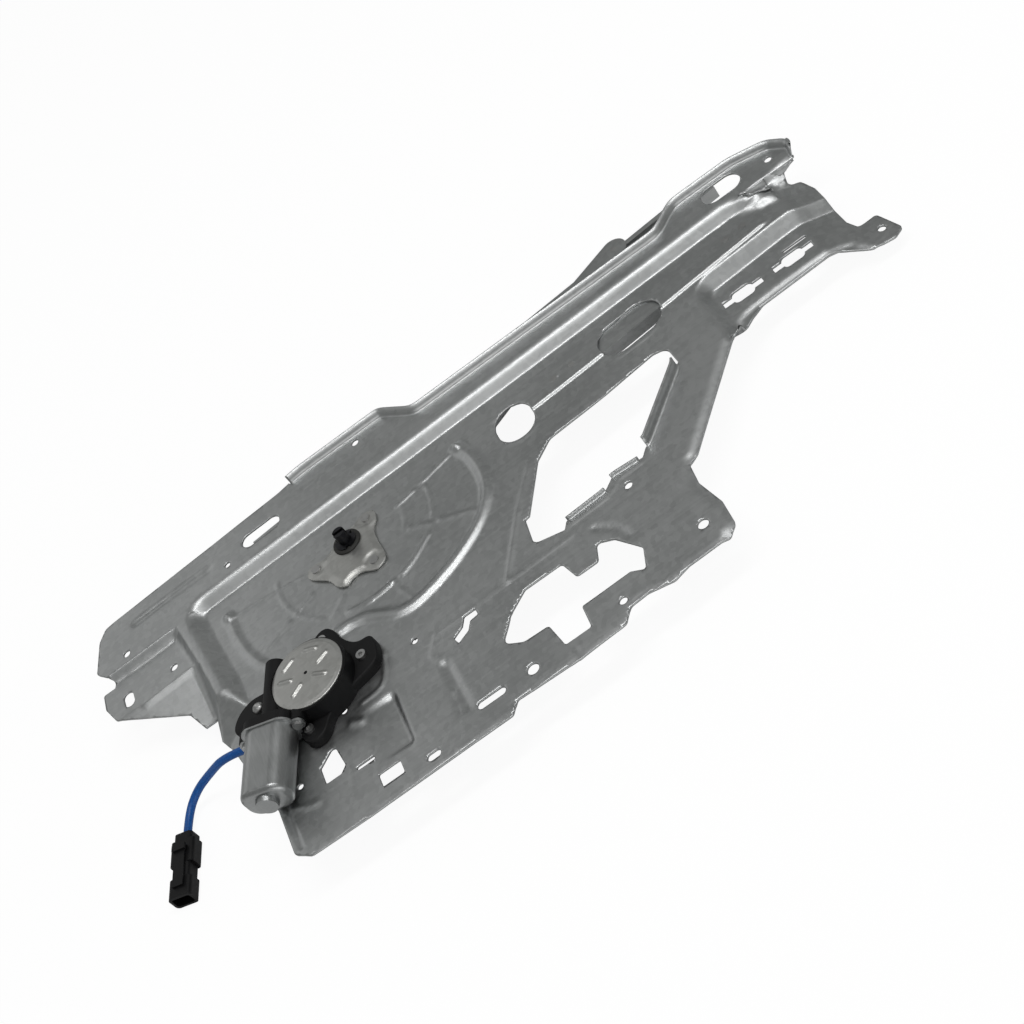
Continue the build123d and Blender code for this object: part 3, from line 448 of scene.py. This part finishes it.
def pressed_sheet():
    """The carrier plate's front skin, cut into a fine net, with each fold eased into a bend."""
    bm = bmesh.new()
    bm.from_mesh(nodes["carrier_plate"].data)
    bmesh.ops.remove_doubles(bm, verts=bm.verts, dist=2e-6)
    bm.normal_update()
    solid = BVHTree.FromBMesh(bm)
    flat_net(bm, solid)
    for v in bm.verts:
        x, y = from_pivot(v.co)
        # The mean height round a point turns each sharp fold of the solid into a bend
        softness = ramp(y - FOLD_SLOPE * x, SOFT_FROM, SOFT_FROM + 3)
        reach = SHARP_BEND + (SOFT_BEND - SHARP_BEND) * softness
        around = [d for radius in (reach, reach / 2) for d in arc_of(radius, 0, 315, steps=7)]
        found = [front_level(solid, v.co.x, v.co.y)]
        found += [front_level(solid, v.co.x + d.x * MM, v.co.y + d.y * MM) for d in around]
        if x * x + y * y < FAN_RADIUS * FAN_RADIUS and y < FAN_TOP:
            found = [0.0 if h is not None and abs(h) < FAN_RIBS else h for h in found]
        found = [h for h in found if h is not None]
        if found:
            high = sum(found) / len(found)
        else:
            high = FLANGE if y > 60 else 0.0
        # Pressed sheet is never quite flat: a wide and a narrow ripple
        ripple = noise(Vector((x, y, 0)) / 45) * 0.22 + noise(Vector((x, y, 9)) / 17) * 0.035
        v.co.z = PIVOT.z + (high + pressing(x, y) + ripple) * MM
    places = [(v, *from_pivot(v.co)) for v in bm.verts]
    for (left, right, low, high), rounds in SMOOTHED:
        chosen = [v for v, x, y in places if left < x < right and low < y < high]
        for _ in range(rounds):
            bmesh.ops.smooth_vert(bm, verts=chosen, factor=0.5, use_axis_x=False, use_axis_y=False,
                                  use_axis_z=True)
    return bm


# Rounds of easing along a rim: for the way that it leans, and for the places of its points
LEAN_ROUNDS, PLACE_ROUNDS = 24, 6


def turn_edge(bm, wanted, profile):
    """Bend the chosen rim edges of the sheet along a profile of (inset, height) steps in millimetres."""
    bm.normal_update()
    layers = bm.verts.layers.float_vector
    inward = layers.get("inward") or layers.new("inward")
    foot = layers.get("foot") or layers.new("foot")
    rim = [e for e in bm.edges if e.is_boundary and wanted(*from_pivot((e.verts[0].co + e.verts[1].co) / 2))]
    pull, chosen = {}, set(rim)
    for edge in rim:
        loop = edge.link_loops[0]
        along = loop.link_loop_next.vert.co - loop.vert.co
        side = Vector((-along.y, along.x, 0)).normalized() * (1 if loop.face.normal.z > 0 else -1)
        for v in edge.verts:
            pull[v] = pull.get(v, Vector((0, 0, 0))) + side
    beside = {v: [e.other_vert(v) for e in v.link_edges if e in chosen] for v in pull}
    for _ in range(LEAN_ROUNDS):
        pull = {v: sum((pull[w].normalized() for w in beside[v]), pull[v].normalized()) for v in pull}
    for _ in range(PLACE_ROUNDS):
        settled = {v: (v.co * 2 + w[0].co + w[1].co) / 4 for v, w in beside.items() if len(w) == 2}
        for v, place in settled.items():
            v.co = place
    for v, side in pull.items():
        v[inward] = side.normalized()
        v[foot] = v.co
    # The strip grows from a copy of the rim, row by row
    made = bmesh.ops.duplicate(bm, geom=rim + list(pull))
    row = [g for g in made["geom"] if isinstance(g, bmesh.types.BMEdge)]
    strip = set()
    for number, (inset, height) in enumerate(profile):
        if number > 0:
            grown = bmesh.ops.extrude_edge_only(bm, edges=row)["geom"]
            fresh = {g for g in grown if isinstance(g, bmesh.types.BMVert)}
            strip |= {face for v in fresh for face in v.link_faces}
            row = [g for g in grown if isinstance(g, bmesh.types.BMEdge) and set(g.verts) <= fresh]
        for v in {v for e in row for v in e.verts}:
            v.co = Vector(v[foot]) + Vector(v[inward]) * inset * MM + Vector((0, 0, height * MM))
    # Its faces look inward and up, so that the gauge grows outward like the sheet's
    for face in strip:
        face.normal_update()
        if face.normal.dot(Vector(face.verts[0][inward]) + Vector((0, 0, 1))) < 0:
            face.normal_flip()


# A bend starts this far above the skin
SKIN_GAP = 0.03
BEND_STEPS = 7


def bend(radius, rise, lean=90, outward=0.0):
    """A profile that leaves the sheet level, turns through an angle and ends at the rim at a height."""
    turn = [math.radians(lean) * k / BEND_STEPS for k in range(BEND_STEPS + 1)]
    # The straight part above the bend. At 90 degrees there is no tangent, so it's taken just below
    run = (rise - radius * (1 - math.cos(turn[-1]))) / math.tan(math.radians(lean - 0.01))
    start = radius * math.sin(turn[-1]) + run
    curve = [(start - radius * math.sin(t), radius - radius * math.cos(t) + SKIN_GAP) for t in turn]
    return [(inset - outward, height) for inset, height in curve + [(0.0, rise)]]


def near_line(ax, ay, bx, by):
    """A test for the rim edges that lie within 2 mm of a line."""
    def wanted(x, y):
        ex, ey = bx - ax, by - ay
        along = ((x - ax) * ex + (y - ay) * ey) / (ex * ex + ey * ey)
        return 0 < along < 1 and math.hypot(x - ax - along * ex, y - ay - along * ey) < 2.0
    return wanted


def on_lip(x, y):
    """The plate's upper edge, but not the rims of the three holes near it."""
    in_slot = 362 < x < 401 and y < 92
    at_hole = math.hypot(x - 39, y - 90) <= 5 or math.hypot(x - 422, y - 75) <= 5
    return -21 < x < 442 and y > 62 and not in_slot and not at_hole


skin = pressed_sheet()
turn_edge(skin, on_lip, bend(2.2, 7.0, 70, outward=1.4))
# The large window's slanted side, and the two short rims at its foot
turn_edge(skin, near_line(225, -103, 277, -50), bend(2.0, 9.0))
turn_edge(skin, near_line(151, -118.6, 185, -116.4), bend(1.2, 2.6))
turn_edge(skin, near_line(193, -108, 216, -110), bend(1.2, 2.6))
skin.normal_update()
sheet = show("carrier_sheet", skin, "galvanised", "plate", 55)
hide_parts("carrier_plate")
thicken(sheet, 1.5)


def filled(points):
    """A flat face inside a smooth closed outline, given in millimetres from the pivot."""
    line = bpy.data.curves.new("outline", "CURVE")
    line.dimensions = "2D"
    line.fill_mode = "BOTH"
    spline = line.splines.new("NURBS")
    spline.points.add(len(points) - 1)
    for point, (x, y) in zip(spline.points, points):
        point.co = (*at(x, y).xy, 0, 1)
    spline.use_cyclic_u = True
    spline.order_u = 3
    spline.resolution_u = 8
    holder = bpy.data.objects.new("outline", line)
    bpy.context.collection.objects.link(holder)
    mesh = bpy.data.meshes.new_from_object(holder)
    bm = bmesh.new()
    bm.from_mesh(mesh)
    bpy.data.objects.remove(holder)
    bpy.data.curves.remove(line)
    bpy.data.meshes.remove(mesh)
    bmesh.ops.remove_doubles(bm, verts=bm.verts, dist=1e-5)
    for face in bm.faces:
        if face.normal.z < 0:
            face.normal_flip()
    return bm


def raised(bm, low, high, edge):
    """Give a flat outline its thickness between two heights, with an upper rim rounded by edge."""
    for v in bm.verts:
        v.co.z = at(0, 0, high).z
    rim = [e for e in bm.edges if e.is_boundary]
    grown = bmesh.ops.extrude_edge_only(bm, edges=rim)["geom"]
    foot = [g for g in grown if isinstance(g, bmesh.types.BMVert)]
    for v in foot:
        v.co.z = at(0, 0, low).z
    base = [e for e in bm.edges if e.is_boundary]
    bmesh.ops.holes_fill(bm, edges=base, sides=0)
    bmesh.ops.recalc_face_normals(bm, faces=bm.faces)
    bmesh.ops.bevel(bm, geom=rim, offset=edge * MM, offset_type="OFFSET", segments=3, profile=0.5,
                    affect="EDGES", material=-1)
    return bm


# Pivot bracket: a skin domed between its rim and the flat pads round its three rivets
BRACKET_OUTLINE = [
    (19, 20), (29, 17), (28, 5), (22, -2), (21.5, -16), (23, -30), (22, -40), (11, -44), (2, -36), (-7, -35),
    (-14, -40), (-22, -34), (-25, -22), (-33, -15), (-41, -6), (-36, 4), (-24, 1), (-15, 4), (-4, 13),
    (8, 14)]
BRACKET_PITCH, BRACKET_REACH = 1.4, 60
BRACKET_TOP, BRACKET_DOME, BRACKET_FALL = 2.5, 1.3, 0.6
RIM_WIDTH = 5.5
PAD_INNER, PAD_OUTER = 5.5, 10.5
bracket = filled(BRACKET_OUTLINE)
lines = [k * BRACKET_PITCH - BRACKET_REACH for k in range(int(2 * BRACKET_REACH / BRACKET_PITCH))]
cut(bracket, Vector((1, 0, 0)), lines)
cut(bracket, Vector((0, 1, 0)), lines)
rim_points = [v.co.copy() for v in bracket.verts if v.is_boundary]
rim = KDTree(len(rim_points))
for number, place in enumerate(rim_points):
    rim.insert(place, number)
rim.balance()
rivets = [at(20, 12.5), at(13, -33.5), at(-31, -3.5)]
for v in bracket.verts:
    inside = ramp(rim.find(v.co)[2] / MM, 0, RIM_WIDTH)
    clear = min((v.co.xy - rivet.xy).length for rivet in rivets) / MM
    dome = BRACKET_DOME * eased(inside) * eased(ramp(clear, PAD_INNER, PAD_OUTER))
    v.co.z = at(0, 0, BRACKET_TOP + dome - BRACKET_FALL * (1 - inside)).z
bracket = show("bracket_plate", bracket, "plated_parts", "plate", 70, "bracket_steel")
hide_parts("pivot_bracket")
thicken(bracket, 1.8)


def spun(profile, centre, steps=48):
    """A round solid: a profile of (radius, height) in millimetres spun about an upright axis."""
    bm = bmesh.new()
    x, y = centre
    points = [bm.verts.new(at(x + r, y, z)) for r, z in profile]
    edges = [bm.edges.new(pair) for pair in zip(points, points[1:])]
    bmesh.ops.spin(bm, geom=points + edges, cent=at(x, y), axis=(0, 0, 1), angle=math.tau, steps=steps,
                   use_merge=True)
    bmesh.ops.remove_doubles(bm, verts=bm.verts, dist=1e-6)
    bmesh.ops.recalc_face_normals(bm, faces=bm.faces)
    return bm


seal = spun([(5.2, 3.4), (11.2, 3.4), (11.8, 4.0), (11.6, 5.0), (10.6, 5.6), (8.2, 5.8), (7.4, 5.0),
             (5.2, 4.8), (5.2, 3.4)], (0, 0))
show("pivot_seal", seal, "black_rubber", "plate", 35, "seal_rubber")

# Gear cover: a stamped disc, slightly domed, with six short ribs and a pin in the middle
low_corner, high_corner = (Vector(nodes["gear_cover"].bound_box[k]) for k in (0, 6))
cover_centre = (((low_corner + high_corner) / 2 - PIVOT) / MM).xy
COVER_DIMPLE = [(0.0, 23.6), (1.2, 23.6), (1.5, 24.3)]
COVER_DISC = [(2.0 + 0.65 * k, 24.4 - 0.0006 * k * k) for k in range(37)]
COVER_RIM = [(26.8, 23.6), (27.9, 23.1), (28.8, 23.2), (29.4, 22.9), (29.5, 22.3), (29.4, 21.65),
             (25.9, 21.65), (25.9, 23.0), (0.0, 23.0)]
# Each rib's middle from the cover's centre, and its angle
COVER_RIBS = [(-11, 17, 27), (15, 4, 27), (-11, -10, 30), (9, 18, -27), (-17, 4, -27), (9, -9, -33)]
RIB_HALF_LENGTH, RIB_HALF_WIDTH, RIB_HEIGHT = 4.6, 2.5, 1.2
DISC_LOW = 23.65
cover = spun(COVER_DIMPLE + COVER_DISC + COVER_RIM, cover_centre, 160)
for v in cover.verts:
    place = (v.co - PIVOT) / MM
    if place.z < DISC_LOW:
        continue
    for x, y, angle in COVER_RIBS:
        off, turn = place.xy - cover_centre - Vector((x, y)), math.radians(angle)
        along = off.x * math.cos(turn) + off.y * math.sin(turn)
        across = off.y * math.cos(turn) - off.x * math.sin(turn)
        near = math.hypot(max(0.0, abs(along) - RIB_HALF_LENGTH), across) / RIB_HALF_WIDTH
        if near < 1:
            v.co.z += RIB_HEIGHT * MM * (1 - near * near) ** 2
cover = show("stamped_cover", cover, "plated_parts", "plate", 35, "bracket_steel")
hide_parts("gear_cover")
pin = spun([(0.0, 23.65), (1.45, 23.65), (1.3, 24.3), (0.0, 24.35)], cover_centre, 24)
show("cover_pin", pin, "black_plastic", "plate")

# The moulded web that carries the gear housing's lugs, and the screw in its left lug
WEB_OUTLINE = [
    (-10, -104), (-9, -116), (-12, -130), (-24, -135), (-44, -139), (-60, -149), (-66, -160), (-76, -164),
    (-85, -158), (-84, -146), (-92, -136), (-104, -128), (-124, -118), (-133, -108), (-126, -95), (-112, -88),
    (-98, -91), (-84, -84), (-60, -86), (-50, -72), (-40, -70), (-34, -78), (-31, -92), (-22, -104)]
web = raised(filled(WEB_OUTLINE), 0.1, 8.4, 1.2)
show("housing_web", web, "black_plastic", "plate")
screw = spun([(0, 8.0), (4.6, 8.0), (4.6, 9.4), (3.9, 10.6), (2.6, 11.4), (1.6, 11.2), (0, 10.6)],
             (-108, -101))
show("flange_screw", screw, "plated_parts", "plate", 35)


def curve_piece(name, points, radius, slot, body):
    """A round sleeve along a smooth line."""
    line = bpy.data.curves.new(name, "CURVE")
    line.dimensions = "3D"
    spline = line.splines.new("NURBS")
    spline.points.add(len(points) - 1)
    for point, place in zip(spline.points, points):
        point.co = (*place, 1)
    spline.order_u = 3
    spline.use_endpoint_u = True
    spline.resolution_u = 16
    line.bevel_depth = radius
    line.bevel_resolution = 8
    line.use_fill_caps = True
    line.materials.append(finishes[slot])
    piece = bpy.data.objects.new(name, line)
    bpy.context.collection.objects.link(piece)
    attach(piece, body)
    return piece


# The lead, from the grommet at the motor down to the connector
lead_route = [at(-127.46, -124.39, 4), at(-146.25, -117.55, 4), at(-168, -105, -12), at(-186, -101, -22),
              at(-199.99, -109.93, -28), at(-206, -129, -28)]
lead = curve_piece("lead_sleeve", lead_route, 3.1 * MM, "blue_sleeve", "plate")
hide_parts("lead")

# Floor: mostly its own white glow to the camera, plain paint to the light
FLOOR_GLOW, FLOOR_GLOW_SHARE = 1.06, 0.88
studio = Finish("studio_floor", Base_Color=(0.92, 0.92, 0.92, 1), Roughness=0.9)
white = studio.node("ShaderNodeEmission", Color=(1, 1, 1, 1), Strength=FLOOR_GLOW)
path = studio.node("ShaderNodeLightPath")
seen = Wire(studio.tree, path.outputs["Is Camera Ray"]) * FLOOR_GLOW_SHARE
blend = studio.node("ShaderNodeMixShader")
studio.join(seen, blend.inputs[0])
studio.join(studio.shader.outputs[0], blend.inputs[1])
studio.join(white.outputs[0], blend.inputs[2])
studio.join(blend.outputs[0], studio.output.inputs["Surface"])
floor_mesh = bmesh.new()
bmesh.ops.create_grid(floor_mesh, x_segments=1, y_segments=1, size=6.0)
floor_data = bpy.data.meshes.new("floor")
floor_mesh.to_mesh(floor_data)
floor_mesh.free()
floor_data.materials.append(studio.material)
floor = bpy.data.objects.new("floor", floor_data)
bpy.context.collection.objects.link(floor)

# World: white to the camera, a dim grey to the metal
world = bpy.data.worlds.new("studio")
bpy.context.scene.world = world
world.use_nodes = True
sky = world.node_tree
background = sky.nodes["Background"]
background.inputs["Color"].default_value = (0.222, 0.226, 0.222, 1)
backdrop = sky.nodes.new("ShaderNodeBackground")
backdrop.inputs["Color"].default_value = (1, 1, 1, 1)
ray = sky.nodes.new("ShaderNodeLightPath")
choose = sky.nodes.new("ShaderNodeMixShader")
sky.links.new(ray.outputs["Is Camera Ray"], choose.inputs[0])
sky.links.new(background.outputs[0], choose.inputs[1])
sky.links.new(backdrop.outputs[0], choose.inputs[2])
sky.links.new(choose.outputs[0], sky.nodes["World Output"].inputs["Surface"])


def softbox(name, place, target, wide, deep, energy):
    """A rectangular lamp that faces a target, its long side level."""
    lamp = bpy.data.lights.new(name, "AREA")
    lamp.shape = "RECTANGLE"
    lamp.size, lamp.size_y = wide, deep
    lamp.energy = energy
    holder = bpy.data.objects.new(name, lamp)
    holder.location = place
    holder.rotation_euler = (Vector(target) - Vector(place)).to_track_quat("-Z", "Y").to_euler()
    bpy.context.collection.objects.link(holder)


softbox("overhead", (0.35, 0.0, 2.0), (0.35, 0, 0), 2.0, 0.3, 12.5)
softbox("front", (0.1, -2.2, 0.42), (0, 0, 0), 3.0, 0.6, 9)
softbox("front_high", (0.3, -1.25, 2.05), (0.3, 0, 0), 2.4, 0.8, 2.4)
softbox("back_left", (-1.8, 2.1, 1.5), (0, 0, 0), 2.4, 1.6, 4.2)

# Camera, fitted to the plate's holes and corners in the photo
view = bpy.data.cameras.new("camera")
view.lens = 70.31
view.sensor_width = 36
view.clip_start, view.clip_end = 0.05, 20
camera = bpy.data.objects.new("camera", view)
eye = at(258.4, -1154.1, 931.0)
right = Vector((0.8113, -0.3189, -0.4900))
up = Vector((0.5766, 0.5755, 0.5800))
back = Vector((0.0970, -0.7531, 0.6508))
camera.matrix_world = Matrix.Translation(eye) @ Matrix((right, up, back)).transposed().to_4x4()
bpy.context.collection.objects.link(camera)
bpy.context.scene.camera = camera
bpy.context.scene.view_settings.view_transform = "Standard"
